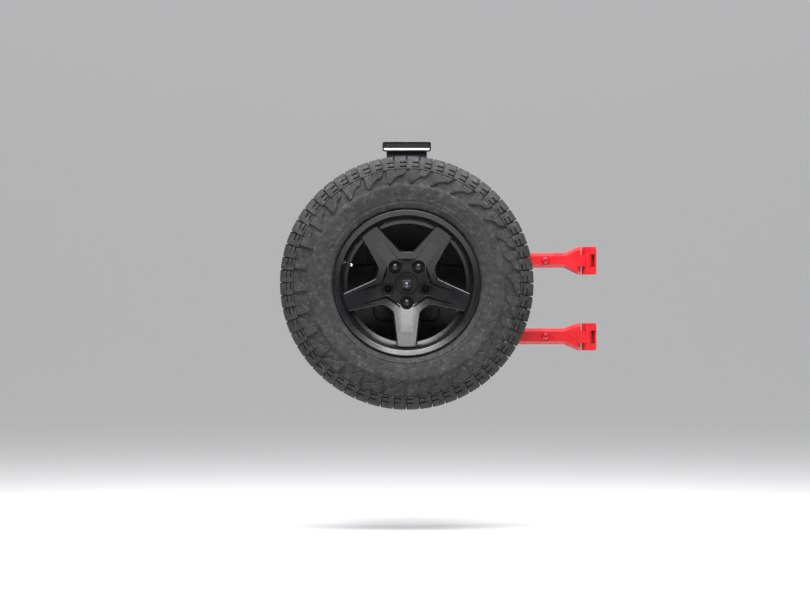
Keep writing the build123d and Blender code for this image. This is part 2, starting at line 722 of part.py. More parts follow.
def make_snubber(x):
    pads = []
    stems = []
    for z in WING_Z:
        pad = rod(PAD_R, x, z, PAD_BACK_Y, PAD_FRONT_Y)
        pad = edges_filleted(pad, pad.edges().sort_by(Axis.Y)[:1], 2.5)
        pads.append(pad - rod(11, x, z, PAD_BACK_Y + 1, PAD_BACK_Y - 4))
        stem = rod(11, x, z, PAD_BACK_Y, PAD_BACK_Y - 4)
        stem += rod(GATE_BOLT_R - 0.05, x, z, STEM_END_Y, PAD_BACK_Y)
        stems.append(stem)
    return group(pads), group(stems)


def make_tower_bolts():
    bolts = []
    for x, z in TOWER_BOLTS:
        end_y = BRACKET_BACK_Y + (14 if z > 0 else 11)
        head = flanged_head(x, z, BRACKET_FRONT_Y - 8, 18)
        bolts.append(head + rod(BIG_BOLT_R, x, z, end_y, BRACKET_FRONT_Y - 8))
    return group(bolts)


def make_tower_nuts():
    """Weld nuts: behind the stalk's web at the top, behind the plate below."""
    nuts = []
    for x, z in TOWER_BOLTS:
        seat_y = BRACKET_BACK_Y + (STALK_WALL if z > 0 else 0)
        nut = hex_bar(18, 9) - Cylinder(BIG_BOLT_R, 40)
        nuts.append(Pos(x, seat_y, z) * Rot(-90, 0, 0) * nut)
    return group(nuts)


NODES["carrier_bracket"] = make_carrier_bracket()
NODES["carrier_feet"] = make_carrier_feet()
NODES["gate_bolts"] = make_gate_bolts([-STUD_X, STUD_X], [-STUD_Z, STUD_Z])
NODES["wing_bolts"] = make_gate_bolts([-WING_BOLT_X, WING_BOLT_X], WING_Z)


# ---- brake light and its stalk ------------------------------------------------------------
STALK_WALL = 3.0
STALK_BACK_Y = -4.0
STALK_LOW_Z = 90.0
STALK_WIDE = 112.0
LIGHT_FRONT_Y = -42.0
LIGHT_BACK_Y = -2.0
LIGHT_WALL = 5.0
LIGHT_BACK_WALL = 3.0
STRIP_HEIGHT = 6.5  # clear strip along the lower edge
BAR_HEIGHT = 4.0  # bar between the strip and the smoked lens
LIGHT_SCREW_X = 60.0


def stalk_outline(shrink):
    low = STALK_LOW_Z + shrink
    wide = STALK_WIDE - shrink
    narrow = STALK_HALF - shrink
    return Polygon(
        (-wide, low),
        (wide, low),
        (wide, 205),
        (narrow, 290),
        (narrow, LIGHT_BOTTOM_Z),
        (-narrow, LIGHT_BOTTOM_Z),
        (-narrow, 290),
        (-wide, 205),
        align=None,
    )


def make_stalk():
    """Pressed channel that carries the light above the tyre, open at the back."""
    stalk = facing_out(stalk_outline(0), STALK_BACK_Y, BRACKET_BACK_Y)
    hollow = facing_out(stalk_outline(STALK_WALL), STALK_BACK_Y + 1, BRACKET_BACK_Y + STALK_WALL)
    stalk -= hollow
    for x, z in TOWER_BOLTS[2:]:
        stalk -= rod(BIG_BOLT_R, x, z, 0, BRACKET_FRONT_Y)
    cap = block(
        (-STALK_HALF + STALK_WALL, BRACKET_BACK_Y + STALK_WALL, LIGHT_BOTTOM_Z - STALK_WALL),
        (STALK_HALF - STALK_WALL, STALK_BACK_Y, LIGHT_BOTTOM_Z),
    )
    stalk += cap
    for x in (-LIGHT_SCREW_X / 2, LIGHT_SCREW_X / 2):
        stalk -= upright(2.5, x, -12, LIGHT_BOTTOM_Z - 10, LIGHT_BOTTOM_Z + 1)
    return stalk


def light_body(inset, back_y, front_y):
    """A bar with rounded ends, smaller by the inset all round."""
    outline = RectangleRounded(
        2 * (LIGHT_HALF - inset), LIGHT_TOP_Z - LIGHT_BOTTOM_Z - 2 * inset, max(8 - inset, 1.5)
    )
    centre_z = (LIGHT_TOP_Z + LIGHT_BOTTOM_Z) / 2
    return facing_out(Pos(0, centre_z) * outline, back_y, front_y)


def make_light_housing():
    housing = light_body(0, LIGHT_BACK_Y, LIGHT_FRONT_Y)
    front = housing.edges().group_by(Axis.Y)[0]
    housing = edges_filleted(housing, front, 1.5)
    housing -= light_body(LIGHT_WALL, LIGHT_BACK_Y - LIGHT_BACK_WALL, LIGHT_FRONT_Y - 1)
    strip_top = LIGHT_BOTTOM_Z + LIGHT_WALL + STRIP_HEIGHT
    housing += block(
        (1 - LIGHT_HALF, LIGHT_FRONT_Y + 0.5, strip_top),
        (LIGHT_HALF - 1, LIGHT_FRONT_Y + 8, strip_top + BAR_HEIGHT),
    )
    for x in (-LIGHT_SCREW_X / 2, LIGHT_SCREW_X / 2):
        housing -= upright(2.5, x, -12, LIGHT_BOTTOM_Z - 1, LIGHT_BOTTOM_Z + LIGHT_WALL + 1)
    return housing


def make_light_lens():
    """Smoked lens above the clear strip, with a shallow step round its edge."""
    lens = light_body(LIGHT_WALL, LIGHT_FRONT_Y + 8, LIGHT_FRONT_Y + 3)
    lens += light_body(LIGHT_WALL + 2, LIGHT_FRONT_Y + 3, LIGHT_FRONT_Y + 1)
    bar_top = LIGHT_BOTTOM_Z + LIGHT_WALL + STRIP_HEIGHT + BAR_HEIGHT
    return lens - block(
        (-LIGHT_HALF, LIGHT_FRONT_Y - 5, LIGHT_BOTTOM_Z), (LIGHT_HALF, 0, bar_top)
    )


def make_light_strip():
    strip_top = LIGHT_BOTTOM_Z + LIGHT_WALL + STRIP_HEIGHT
    strip = light_body(LIGHT_WALL, LIGHT_FRONT_Y + 8, LIGHT_FRONT_Y + 1)
    return strip & block(
        (-LIGHT_HALF, LIGHT_FRONT_Y - 5, LIGHT_BOTTOM_Z), (LIGHT_HALF, 0, strip_top)
    )


def make_light_seal():
    """Gasket between the lens's back and a step inside the housing."""
    seal = light_body(LIGHT_WALL, LIGHT_FRONT_Y + 10, LIGHT_FRONT_Y + 8)
    return seal - light_body(LIGHT_WALL + 2.5, LIGHT_FRONT_Y + 11, LIGHT_FRONT_Y + 7)


def make_light_board():
    """Circuit board against the housing's back wall."""
    back_y = LIGHT_BACK_Y - LIGHT_BACK_WALL
    centre_z = (LIGHT_TOP_Z + LIGHT_BOTTOM_Z) / 2
    board = block(
        (-LIGHT_HALF + 8, back_y - 1.6, centre_z - 9), (LIGHT_HALF - 8, back_y, centre_z + 9)
    )
    return board


def make_leds():
    board_front = LIGHT_BACK_Y - LIGHT_BACK_WALL - 1.6
    centre_z = (LIGHT_TOP_Z + LIGHT_BOTTOM_Z) / 2
    leds = []
    for i in range(8):
        x = (i - 3.5) * 17
        led = block(
            (x - 2.5, board_front - 1.2, centre_z - 2.5), (x + 2.5, board_front, centre_z + 2.5)
        )
        leds.append(led + rod(2, x, centre_z, board_front - 1.2, board_front - 2.4))
    return group(leds)


def make_light_screws():
    screws = []
    for x in (-LIGHT_SCREW_X / 2, LIGHT_SCREW_X / 2):
        screw = upright(2.5, x, -12, LIGHT_BOTTOM_Z - STALK_WALL, LIGHT_BOTTOM_Z + LIGHT_WALL + 4)
        screws.append(screw + upright(4.5, x, -12, LIGHT_BOTTOM_Z - STALK_WALL - 3,
                                      LIGHT_BOTTOM_Z - STALK_WALL))
    return group(screws)


NODES["carrier_tower"] = make_tower()
NODES["tower_bolts"] = make_tower_bolts()
NODES["tower_nuts"] = make_tower_nuts()
NODES["wheel_flange"] = make_flange()
NODES["flange_screws"] = make_flange_screws()
NODES["wheel_studs"] = make_studs()
NODES["carrier_cover"] = make_cover()
NODES["cover_screws"] = make_cover_screws()
for side, x in (("left", -SNUBBER_X), ("right", SNUBBER_X)):
    NODES[f"snubber_pad_{side}"], NODES[f"snubber_stem_{side}"] = make_snubber(x)
NODES["brake_light_stalk"] = make_stalk()
NODES["brake_light_housing"] = make_light_housing()
NODES["brake_light_lens"] = make_light_lens()
NODES["brake_light_strip"] = make_light_strip()
NODES["brake_light_seal"] = make_light_seal()
NODES["brake_light_board"] = make_light_board()
NODES["brake_light_leds"] = make_leds()
NODES["brake_light_screws"] = make_light_screws()


# ---- rear camera in the wheel's bore ------------------------------------------------------
SHROUD_R = 33.0
SHROUD_BACK_Z = 18.0  # heights in the wheel's frame
SHROUD_FRONT_Z = 38.0
CAMERA_SIZE = (32.0, 27.5)
CAMERA_LOW = 3.75  # the housing's middle is this much below the wheel's axis
CAMERA_FRONT_Z = 41.0
CAMERA_SCREWS = [16.5, -24.0]  # heights above the wheel's axis
LENS_R = 7.0
LENS_LOW = 7.0
STEM_WALL = 3.0


def make_camera_stem():
    """Tube that holds the camera in the wheel's bore, with a foot on the bracket."""
    length = BRACKET_FRONT_Y - PAD_Y + SHROUD_BACK_Z
    stem = Cylinder(CAMERA_STEM_R, length, align=(Align.CENTER, Align.CENTER, Align.MIN))
    stem += Cylinder(30, 5, align=(Align.CENTER, Align.CENTER, Align.MIN))
    stem -= Cylinder(CAMERA_STEM_R - STEM_WALL, 3 * length)
    for angle in (0, 120, 240):
        stem -= Pos(*polar(23.5, angle), 0) * Cylinder(2.5, 20)
    return Pos(0, BRACKET_FRONT_Y, 0) * Rot(90, 0, 0) * stem


def make_stem_screws():
    screws = []
    for angle in (0, 120, 240):
        x, z = polar(23.5, angle)
        screw = rod(2.5, x, z, BRACKET_FRONT_Y, BRACKET_FRONT_Y - 5)
        screws.append(screw + rod(4.5, x, z, BRACKET_FRONT_Y - 5, BRACKET_FRONT_Y - 8))
    return group(screws)


def make_grommet():
    """Rubber bush for the camera's cable, in the bracket's middle hole."""
    grommet = revolved(
        [(5, -3), (15, -3), (15, 0), (CABLE_HOLE_R, 0), (CABLE_HOLE_R, PRESSING)]
        + [(7, PRESSING), (5, PRESSING - 3)]
    )
    return Pos(0, BRACKET_BACK_Y, 0) * Rot(90, 0, 0) * grommet


def make_shroud():
    shroud = revolved(
        [
            (6, SHROUD_BACK_Z),
            (SHROUD_R - 3, SHROUD_BACK_Z),
            (SHROUD_R, SHROUD_BACK_Z + 3),
            (SHROUD_R, SHROUD_FRONT_Z),
            (SHROUD_R - 3, SHROUD_FRONT_Z),
            (SHROUD_R - 4.5, SHROUD_BACK_Z + 4),
            (6, SHROUD_BACK_Z + 4),
        ]
    )
    for height in CAMERA_SCREWS:
        shroud -= Pos(0, height, SHROUD_BACK_Z) * Cylinder(1.5, 20)
    return on_wheel(shroud)


def make_camera_housing():
    low = SHROUD_BACK_Z + 4
    housing = Pos(0, -CAMERA_LOW, low) * Box(
        *CAMERA_SIZE, CAMERA_FRONT_Z - low, align=(Align.CENTER, Align.CENTER, Align.MIN)
    )
    housing = edges_filleted(housing, housing.edges().filter_by(Axis.Z), 4)
    housing = chamfer(housing.edges().group_by(Axis.Z)[-1], 3)
    bore = Pos(0, -LENS_LOW, CAMERA_FRONT_Z - 6) * Cylinder(
        LENS_R + 2, 20, align=(Align.CENTER, Align.CENTER, Align.MIN)
    )
    return on_wheel(housing - bore)


def make_camera_bezel():
    bezel = revolved(
        [
            (LENS_R, CAMERA_FRONT_Z - 6),
            (LENS_R + 2, CAMERA_FRONT_Z - 6),
            (LENS_R + 2, CAMERA_FRONT_Z + 1.5),
            (LENS_R + 1, CAMERA_FRONT_Z + 2.2),
            (LENS_R, CAMERA_FRONT_Z + 0.5),
        ]
    )
    return on_wheel(Pos(0, -LENS_LOW, 0) * bezel)


def make_camera_lens():
    lens = Pos(0, 0, CAMERA_FRONT_Z - 6) * Cylinder(
        LENS_R, 6, align=(Align.CENTER, Align.CENTER, Align.MIN)
    )
    dome = Pos(0, 0, CAMERA_FRONT_Z - 11) * Sphere(13.6)
    lens += dome & Pos(0, 0, CAMERA_FRONT_Z) * Cylinder(
        LENS_R, 4, align=(Align.CENTER, Align.CENTER, Align.MIN)
    )
    return on_wheel(Pos(0, -LENS_LOW, 0) * lens)


def make_camera_screws():
    floor = SHROUD_BACK_Z + 4
    screws = []
    for height in CAMERA_SCREWS:
        screw = revolved([(0, -4), (1.5, -4), (1.5, 0), (2.8, 0), (2.8, 1), (1.8, 2), (0, 2.2)])
        screws.append(on_wheel(Pos(0, height, floor) * screw))
    return group(screws)


NODES["camera_stem"] = make_camera_stem()
NODES["camera_stem_screws"] = make_stem_screws()
NODES["cable_grommet"] = make_grommet()
NODES["camera_shroud"] = make_shroud()
NODES["camera_housing"] = make_camera_housing()
NODES["camera_bezel"] = make_camera_bezel()
NODES["camera_lens"] = make_camera_lens()
NODES["camera_screws"] = make_camera_screws()


# ---- export -------------------------------------------------------------------------------
os.makedirs("parts", exist_ok=True)
for name, shape in NODES.items():
    export_step(shape, f"parts/{name}.step")
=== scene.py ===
"""Looks of the hinged spare tire carrier: materials, the treaded tyre, studio and camera."""

import bmesh
import bpy
import json
import math
import numpy as np
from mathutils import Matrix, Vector


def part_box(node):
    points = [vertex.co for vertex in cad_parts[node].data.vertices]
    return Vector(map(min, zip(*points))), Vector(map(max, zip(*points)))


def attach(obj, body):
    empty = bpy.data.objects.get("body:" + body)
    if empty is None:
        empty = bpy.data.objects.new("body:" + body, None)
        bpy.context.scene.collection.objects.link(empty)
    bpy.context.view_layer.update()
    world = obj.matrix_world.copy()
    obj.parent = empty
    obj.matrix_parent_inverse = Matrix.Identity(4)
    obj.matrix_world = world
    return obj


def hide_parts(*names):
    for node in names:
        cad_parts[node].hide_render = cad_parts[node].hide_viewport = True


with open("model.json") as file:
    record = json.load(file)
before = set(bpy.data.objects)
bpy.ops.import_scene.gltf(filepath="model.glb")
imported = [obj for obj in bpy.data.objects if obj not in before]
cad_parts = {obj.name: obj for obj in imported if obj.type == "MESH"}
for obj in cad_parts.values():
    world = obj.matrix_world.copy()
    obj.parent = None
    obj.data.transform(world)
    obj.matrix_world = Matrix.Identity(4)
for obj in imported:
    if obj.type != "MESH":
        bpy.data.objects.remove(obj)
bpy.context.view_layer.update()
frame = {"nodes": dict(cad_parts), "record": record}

# ---- places, worked out from the frame ----------------------------------------------------
TYRE_LOW, TYRE_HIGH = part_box("tyre")
TYRE_R = (TYRE_HIGH[2] - TYRE_LOW[2]) / 2
TYRE_MID_Y = (TYRE_LOW[1] + TYRE_HIGH[1]) / 2
WHEEL_FRONT_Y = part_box("wheel")[0][1]


# ---- studio -------------------------------------------------------------------------------
CAMERA_X, CAMERA_Z = -0.0057, -0.0675
CAMERA_DISTANCE = 9.0  # from the wheel's outer face
FOCAL_LENGTH = 125.6
FLOOR_Z = -0.80
WALL_Y = 13.0  # beyond the camera when it looks from behind
WALL_TOP_Z = 12.0
FLOOR_FRONT_Y = -45.0
SWEEP_HALF_WIDTH = 40.0
SWEEP_BEND = 4.0  # radius of the curve from floor to wall
SWEEP_BEND_STEPS = 12


def add_camera():
    data = bpy.data.cameras.new("camera")
    camera = bpy.data.objects.new("camera", data)
    bpy.context.collection.objects.link(camera)
    camera.location = (CAMERA_X, WHEEL_FRONT_Y - CAMERA_DISTANCE, CAMERA_Z)
    camera.rotation_euler = (math.radians(90), 0, 0)
    data.sensor_width = 36
    data.lens = FOCAL_LENGTH
    data.clip_end = 100
    bpy.context.scene.camera = camera


def add_softbox(name, place, target, size, power):
    data = bpy.data.lights.new(name, "AREA")
    data.shape = "RECTANGLE"
    data.size, data.size_y = size
    data.energy = power
    light = bpy.data.objects.new(name, data)
    bpy.context.collection.objects.link(light)
    light.location = place
    direction = Vector(target) - Vector(place)
    light.rotation_euler = direction.to_track_quat("-Z", "Y").to_euler()


def add_sweep():
    """Pale floor that curves up into a backdrop."""
    profile = [(FLOOR_FRONT_Y, FLOOR_Z), (WALL_Y - SWEEP_BEND, FLOOR_Z)]
    for i in range(1, SWEEP_BEND_STEPS + 1):
        angle = math.radians(90 * i / SWEEP_BEND_STEPS)
        y = WALL_Y - SWEEP_BEND + SWEEP_BEND * math.sin(angle)
        profile.append((y, FLOOR_Z + SWEEP_BEND * (1 - math.cos(angle))))
    profile.append((WALL_Y, WALL_TOP_Z))
    sides = (-SWEEP_HALF_WIDTH, SWEEP_HALF_WIDTH)
    vertices = [(x, y, z) for y, z in profile for x in sides]
    faces = [(2 * i, 2 * i + 1, 2 * i + 3, 2 * i + 2) for i in range(len(profile) - 1)]
    mesh = bpy.data.meshes.new("sweep")
    mesh.from_pydata(vertices, [], faces)
    mesh.polygons.foreach_set("use_smooth", [True] * len(faces))
    sweep = bpy.data.objects.new("sweep", mesh)
    bpy.context.collection.objects.link(sweep)
    material = bpy.data.materials.new("sweep_paper")
    material.use_nodes = True
    shader = material.node_tree.nodes["Principled BSDF"]
    shader.inputs["Base Color"].default_value = (0.62, 0.62, 0.63, 1)
    shader.inputs["Roughness"].default_value = 0.9
    shader.inputs["Emission Color"].default_value = (1, 1, 1, 1)
    shader.inputs["Emission Strength"].default_value = 0.28
    mesh.materials.append(material)


def add_studio():
    add_camera()
    add_sweep()
    add_softbox("front_softbox", (0.0, -4.4, 3.0), (0, -0.2, 0), (3.2, 1.3), 175)
    add_softbox("top_softbox", (0.0, -0.9, 2.4), (0, -0.3, 0.2), (2.8, 1.6), 240)
    add_softbox("side_softbox", (-4.0, -2.0, 1.2), (0, -0.2, 0), (1.2, 2.2), 18)
    world = bpy.data.worlds.new("studio")
    world.use_nodes = True
    world.node_tree.nodes["Background"].inputs["Color"].default_value = (0.8, 0.82, 0.85, 1)
    world.node_tree.nodes["Background"].inputs["Strength"].default_value = 0.10
    bpy.context.scene.world = world
    bpy.context.scene.view_settings.view_transform = "Standard"


# ---- tyre ---------------------------------------------------------------------------------
# Lengths in metres. u runs round the crown, s from the crown's middle along the section
# towards the bead, and h outwards from the tyre's outer surface.
PITCHES = 30  # tread patterns round the tyre, each with two shoulder blocks
PITCH = 2 * math.pi * TYRE_R / PITCHES
SECTION = [  # radius and distance from the middle plane, from the crown to the bead
    (0.4074, 0.0),
    (0.4071, 0.036),
    (0.4056, 0.072),
    (0.4010, 0.097),
    (0.3915, 0.1105),
    (0.3745, 0.1195),
    (0.3520, 0.1262),
    (0.3250, 0.1300),
    (0.3000, 0.1292),
    (0.2760, 0.1250),
    (0.2580, 0.1208),
    (0.2500, 0.1190),
    (0.2440, 0.1158),
    (0.2385, 0.1105),
    (0.2353, 0.1055),
    (0.2347, 0.1012),
    (0.2200, 0.1010),
]
LINER = [  # the inner surface, from the bead back to the crown
    (0.2172, 0.0960),
    (0.2172, 0.0800),
    (0.2240, 0.0780),
    (0.2480, 0.0960),
    (0.2800, 0.1100),
    (0.3250, 0.1150),
    (0.3600, 0.1080),
    (0.3800, 0.0880),
    (0.3850, 0.0600),
    (0.3860, 0.0),
]
TREAD_DEPTH = 0.0115
LUG_DEPTH = 0.0054
BLOCK_FOOT_R = 0.3635  # where the shoulder blocks end on the sidewall
LUG_TOP_R = 0.3615
LUG_LOW_R = 0.3190
BEVEL = 0.0011
FLARE = 0.0009  # how much wider a block is at its foot
GROOVE_SLANT = 0.05  # of the grooves across the tread, against the wheel's axis
SLOT_RADII = (0.3845, 0.3705)  # of the two slots in each shoulder block
SLOT_HALF_WIDTH = 0.0021
SHOULDER_MARGINS = (0.046, 0.016)  # beside a shoulder block, at the crown and foot, in pitches
LUG_START, LUG_WIDTH = 0.125, 0.855  # in pitches
RIB_ROWS = ((0.0045, 0.0375), (0.0435, 0.0755))
RIB_SPANS = ((0.0, 0.47), (0.53, 1.0))  # parts of a block on each side of its sipe
RIB_START, RIB_WIDTH = 0.05, 0.40  # in pitches
BEVEL_SHARP_DEGREES = 35
CARCASS_STEPS = 288  # round the tyre
CARCASS_SHARP_DEGREES = 50


def smooth_curve(points, steps):
    """Catmull-Rom curve through the points, mirrored past the first one."""
    p = [Vector((points[1][0], -points[1][1]))] + [Vector(q) for q in points] + [Vector(points[-1])]
    curve = []
    for k in range(1, len(p) - 2):
        for i in range(steps):
            t = i / steps
            curve.append(
                0.5 * (
                    2 * p[k]
                    + (p[k + 1] - p[k - 1]) * t
                    + (2 * p[k - 1] - 5 * p[k] + 4 * p[k + 1] - p[k + 2]) * t**2
                    + (3 * p[k] - p[k - 1] - 3 * p[k + 1] + p[k + 2]) * t**3
                )
            )
    return np.array(curve + [p[-2]])


CURVE = smooth_curve(SECTION, 12)
CURVE_S = np.concatenate([[0], np.cumsum(np.linalg.norm(np.diff(CURVE, axis=0), axis=1))])
CURVE_OUT = np.gradient(CURVE, axis=0)[:, ::-1] * [1, -1]
CURVE_OUT /= np.linalg.norm(CURVE_OUT, axis=1)[:, None]


def s_at_radius(radius):
    return float(np.interp(-radius, -CURVE[:, 0], CURVE_S))


BLOCK_FOOT_S = s_at_radius(BLOCK_FOOT_R)
LUG_LOW_S = s_at_radius(LUG_LOW_R)


def groove_depth(s):
    """How far the ground between the blocks lies below the outer surface."""
    stations = [0.09, 0.118, BLOCK_FOOT_S, LUG_LOW_S, LUG_LOW_S + 0.012]
    depths = [TREAD_DEPTH, 0.0085, LUG_DEPTH + 0.0008, LUG_DEPTH, 0.0006]
    return np.interp(np.abs(s), stations, depths)


def wrapped(u, s, h):
    """From (u, s, h) to the row's frame, for arrays."""
    side = np.where(s < 0, -1.0, 1.0)
    along = np.abs(s)
    out = np.stack([np.interp(along, CURVE_S, CURVE_OUT[:, k]) for k in (0, 1)])
    radius = np.interp(along, CURVE_S, CURVE[:, 0]) + h * out[0]
    across = (np.interp(along, CURVE_S, CURVE[:, 1]) + h * out[1]) * side
    angle = u / TYRE_R
    return np.stack([radius * np.sin(angle), TYRE_MID_Y - across, radius * np.cos(angle)], axis=-1)


def add_block(plan, columns, rows, place, skipped=()):
    """One rubber block's top: a grid of faces at place(column, row), some of them left out."""
    corners = {}

    def corner(i, j):
        if (i, j) not in corners:
            corners[i, j] = plan.verts.new((*place(columns[i], rows[j]), 0))
        return corners[i, j]

    for i in range(len(columns) - 1):
        for j in range(len(rows) - 1):
            if (i, j) not in skipped:
                plan.faces.new(
                    [corner(i, j), corner(i + 1, j), corner(i + 1, j + 1), corner(i, j + 1)]
                )


def shoulder_block(plan, start, side):
    """Wraps over the shoulder; two short slots open into the groove on one side."""
    slots = [
        (s_at_radius(r + SLOT_HALF_WIDTH), s_at_radius(r - SLOT_HALF_WIDTH)) for r in SLOT_RADII
    ]
    rows = [0.082, 0.087, 0.092, 0.097, 0.102, 0.107, 0.112, *slots[0]]
    rows += [(slots[0][1] + slots[1][0]) / 2, *slots[1], BLOCK_FOOT_S]
    columns = [0, 0.22, 0.44, 0.62, 0.8, 1]
    skipped = [(i, rows.index(slot[0])) for slot in slots for i in (2, 3, 4)]

    def place(column, row):
        margin = np.interp(row, [0.09, BLOCK_FOOT_S], SHOULDER_MARGINS)
        u = start + (margin + column * (0.5 - 2 * margin)) * PITCH
        return u, side * row

    add_block(plan, columns, rows, place, skipped)


def side_lug(plan, start, side):
    """Raised lug on the sidewall with a stepped, slanting lower edge."""
    columns = [0, 0.08, 0.17, 0.27, 0.36, 0.44, 0.475, 0.58, 0.7, 0.82, 0.91, 1]
    lower = np.interp(
        columns, [0, 0.17, 0.4, 0.62, 0.84, 1], [LUG_LOW_R, 0.3205, 0.3345, 0.3425, 0.3430, 0.3580]
    )
    top_s = s_at_radius(LUG_TOP_R)

    def place(column, row):
        low_s = s_at_radius(float(np.interp(column, columns, lower)))
        u = start + (LUG_START + LUG_WIDTH * column) * PITCH
        return u, side * (top_s + row * (low_s - top_s))

    add_block(plan, columns, [0, 0.34, 0.68, 1], place, [(5, 0)])


def rib_blocks(plan, start, side):
    """Two rows of blocks between the middle and the shoulder, cut by sipes."""
    for low, high in RIB_ROWS:
        for left, right in RIB_SPANS:
            columns = [left, (left + right) / 2, right]

            def place(column, row, low=low, high=high):
                s = side * (low + row * (high - low))
                return start + (RIB_START + RIB_WIDTH * column) * PITCH + GROOVE_SLANT * s, s

            skipped = [(0, 3)] if left == 0 else [(1, 0)]
            add_block(plan, columns, [0, 0.25, 0.5, 0.75, 1], place, skipped)


def finish_blocks(plan):
    """Turns the tops upwards, gives every block walls and a foot, and rounds its top edges."""
    tops = list(plan.faces)
    for face in tops:
        face.normal_update()
        if face.normal.z < 0:
            face.normal_flip()
    rim = [e for e in plan.edges if e.is_boundary]
    outward = {v: Vector() for v in plan.verts}
    for edge in rim:
        a, b = edge.verts
        away = Vector((b.co.y - a.co.y, a.co.x - b.co.x, 0)).normalized()
        if away.dot(edge.link_faces[0].calc_center_median() - a.co) > 0:
            away.negate()
        outward[a] += away
        outward[b] += away
    feet = {}
    for v, away in outward.items():
        flare = FLARE * away.normalized() if away.length > 0 else Vector()
        feet[v] = plan.verts.new(v.co + flare - Vector((0, 0, float(groove_depth(v.co.y)) + 0.001)))
    for edge in rim:
        loop = edge.link_loops[0]
        a, b = loop.vert, loop.link_loop_next.vert
        plan.faces.new([b, a, feet[a], feet[b]])
    for face in tops:
        plan.faces.new([feet[v] for v in reversed(face.verts)])
    bmesh.ops.bevel(
        plan, geom=rim, offset=BEVEL, segments=2, profile=0.6, affect="EDGES", clamp_overlap=True
    )


def wrapped_object(name, plan):
    """Repeats a plan of one pitch round the tyre."""
    plan.verts.index_update()
    flat = np.array([v.co for v in plan.verts])
    faces = [[v.index for v in reversed(f.verts)] for f in plan.faces]
    points, polygons = [], []
    for k in range(PITCHES):
        points.append(wrapped(flat[:, 0] + k * PITCH, flat[:, 1], flat[:, 2]))
        polygons += [[i + k * len(flat) for i in face] for face in faces]
    return new_object(name, np.concatenate(points), polygons, BEVEL_SHARP_DEGREES)


def new_object(name, points, polygons, sharp_degrees):
    mesh = bpy.data.meshes.new(name)
    mesh.from_pydata([tuple(p) for p in points], [], polygons)
    mesh.polygons.foreach_set("use_smooth", [True] * len(polygons))
    mesh.set_sharp_from_angle(angle=math.radians(sharp_degrees))
    mesh.validate()
    obj = bpy.data.objects.new(name, mesh)
    bpy.context.collection.objects.link(obj)
    return obj


def sidewall_rings(s):
    """Thin raised rings on the sidewall."""
    rings = [(0.3120, 0.0012, 0.0012), (0.2690, 0.0010, 0.0010), (0.2640, 0.0010, 0.0010)]
    rings += [(0.2545, 0.0014, 0.0022)]
    return sum(h * math.exp(-(((s - s_at_radius(r)) / w) ** 2)) for r, h, w in rings)


def tyre_carcass():
    """The ring under the blocks, with plain sidewalls, beads and an inner liner."""
    half = np.unique(np.concatenate([
        np.arange(0, LUG_LOW_S + 0.014, 0.0035),
        np.arange(LUG_LOW_S + 0.014, CURVE_S[-1], 0.0009),
    ]))
    outer = []
    for s in np.concatenate([-half[:0:-1], half]):
        h = -groove_depth(s) + sidewall_rings(abs(s))
        outer.append(wrapped(np.zeros(1), np.array([s]), np.array([h]))[0])
    section = [(p[2], p[1]) for p in outer]
    liner = smooth_curve(LINER[::-1], 4)[::-1]
    section += [(r, TYRE_MID_Y - a) for r, a in liner]
    section += [(r, TYRE_MID_Y + a) for r, a in liner[-2::-1]]
    count = len(section)
    points = []
    for i in range(CARCASS_STEPS):
        angle = 2 * math.pi * i / CARCASS_STEPS
        points += [(r * math.sin(angle), y, r * math.cos(angle)) for r, y in section]
    polygons = []
    for i in range(CARCASS_STEPS):
        here, there = i * count, (i + 1) % CARCASS_STEPS * count
        for j in range(count):
            k = (j + 1) % count
            polygons.append([here + j, here + k, there + k, there + j])
    return new_object("tyre_carcass", points, polygons, CARCASS_SHARP_DEGREES)


def add_tyre(rubber):
    plans = {name: bmesh.new() for name in ("tyre_shoulders", "tyre_lugs", "tyre_ribs")}
    for side in (1, -1):
        for half in (0, 0.5 * PITCH):
            shoulder_block(plans["tyre_shoulders"], half, side)
            rib_blocks(plans["tyre_ribs"], half, side)
        side_lug(plans["tyre_lugs"], 0, side)
    pieces = [tyre_carcass()]
    for name, plan in plans.items():
        finish_blocks(plan)
        pieces.append(wrapped_object(name, plan))
        plan.free()
    for piece in pieces:
        piece.data.materials.append(rubber)
        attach(piece, "spare_wheel")
    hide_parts("tyre")


